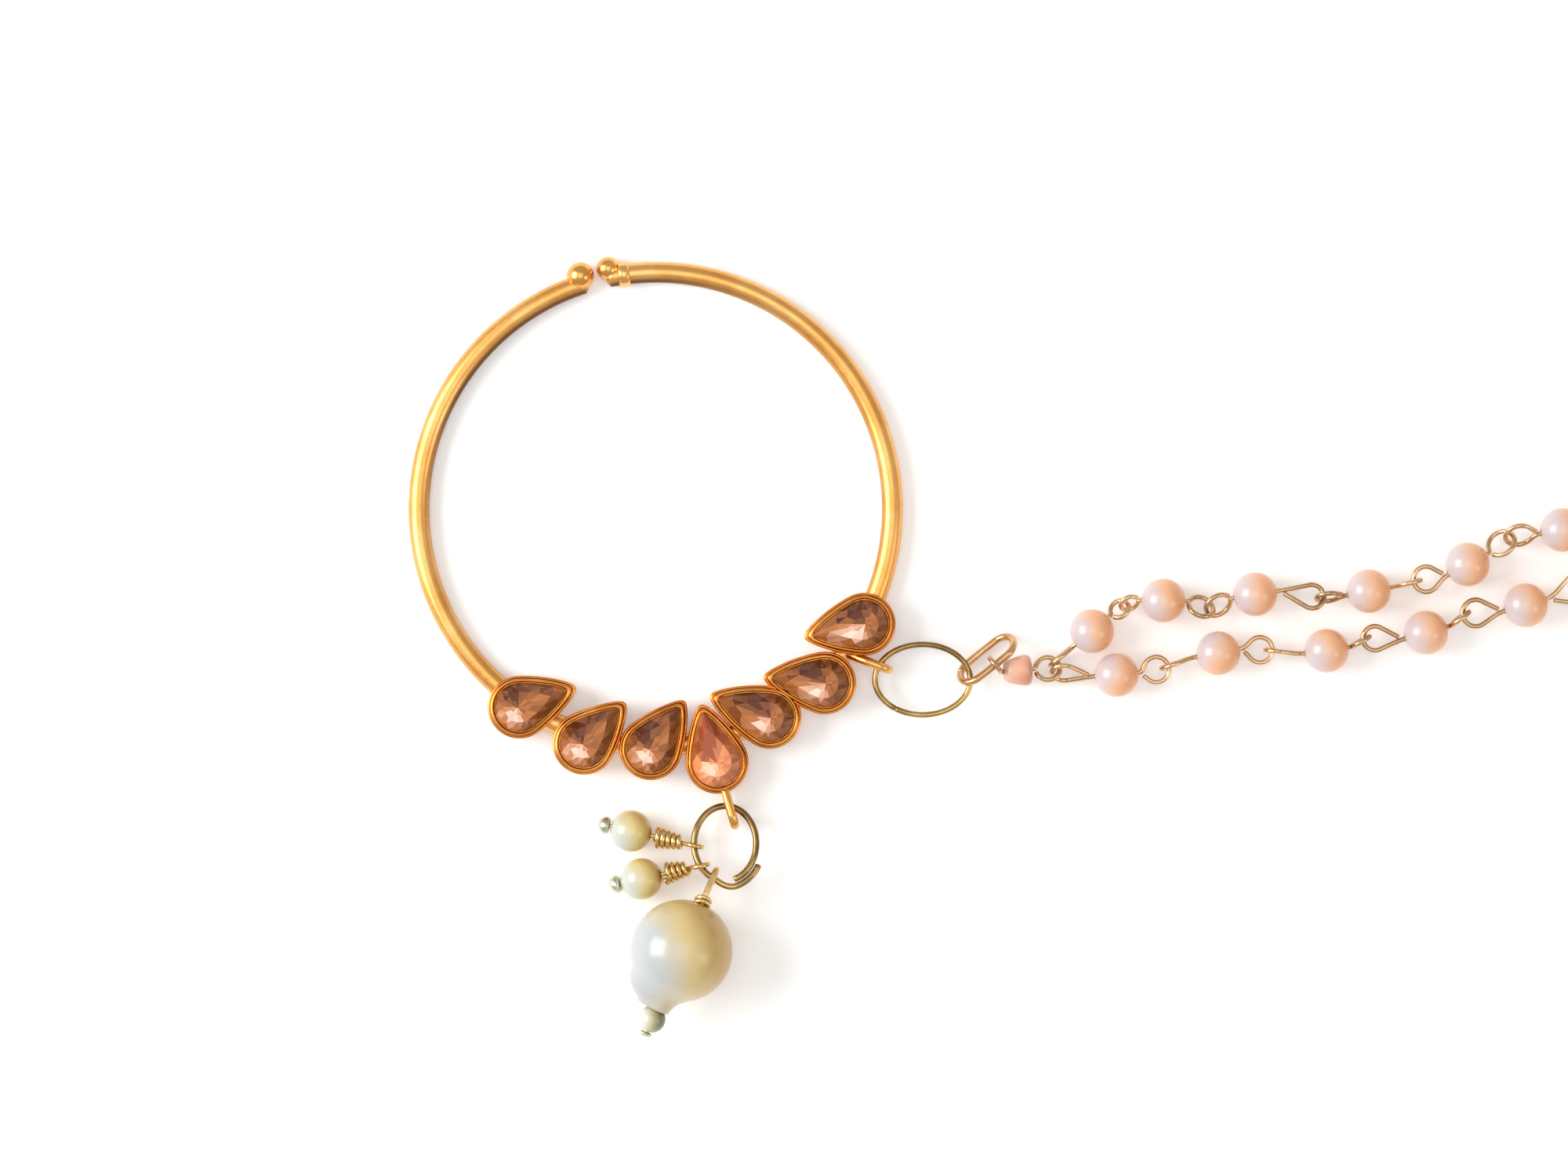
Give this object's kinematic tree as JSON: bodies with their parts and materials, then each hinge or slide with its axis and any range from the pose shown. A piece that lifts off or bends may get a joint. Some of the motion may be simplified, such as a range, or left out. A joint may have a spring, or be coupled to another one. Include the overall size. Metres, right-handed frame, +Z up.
{
  "type": "nose ring with chain",
  "caption": "Open round hoop nose ring with pear-shaped stones along its lower arc, a pearl drop and a two-strand pearl chain ending in a plain hook, lying flat.",
  "frame": {"origin": "under the middle of the whole part's box, on the surface that it lies on", "axes": "+X along the chain towards its hook, +Y in the plane of the hoop from the drop towards the hoop's opening, +Z up from the surface"},
  "size_m": [0.1324, 0.071, 0.0093],
  "materials": {
    "gold": "polished, gold plated",
    "pale_gold": "polished, pale rose gold plated",
    "dark_gold": "polished, darker antique gold",
    "stone": "clear faceted champagne stone with a foiled back",
    "cream_pearl": "cream pearl coating",
    "chain_pearl": "peach pearl coating"
  },
  "bodies": {
    "root": {"nose_hoop": "gold", "stone_1": "stone", "stone_2": "stone", "stone_3": "stone", "stone_4": "stone", "stone_5": "stone", "stone_6": "stone", "stone_7": "stone", "drop_ring": "dark_gold", "drop_pearl": "cream_pearl", "drop_end_bead": "cream_pearl", "drop_pin": "pale_gold", "small_pearl_1": "cream_pearl", "small_pin_1": "pale_gold", "small_pearl_2": "cream_pearl", "small_pin_2": "pale_gold", "chain_ring": "dark_gold", "oval_link": "gold", "first_bead": "chain_pearl", "first_link": "pale_gold", "upper_pearl_1": "chain_pearl", "upper_pearl_2": "chain_pearl", "upper_pearl_3": "chain_pearl", "upper_pearl_4": "chain_pearl", "upper_pearl_5": "chain_pearl", "upper_pearl_6": "chain_pearl", "upper_link_1": "pale_gold", "upper_link_2": "pale_gold", "upper_link_3": "pale_gold", "upper_link_4": "pale_gold", "upper_link_5": "pale_gold", "upper_link_6": "pale_gold", "lower_pearl_1": "chain_pearl", "lower_pearl_2": "chain_pearl", "lower_pearl_3": "chain_pearl", "lower_pearl_4": "chain_pearl", "lower_pearl_5": "chain_pearl", "lower_link_1": "pale_gold", "lower_link_2": "pale_gold", "lower_link_3": "pale_gold", "lower_link_4": "pale_gold", "lower_link_5": "pale_gold", "end_ring": "gold", "joining_ring": "pale_gold", "hair_hook": "gold"}
  },
  "joints": []
}
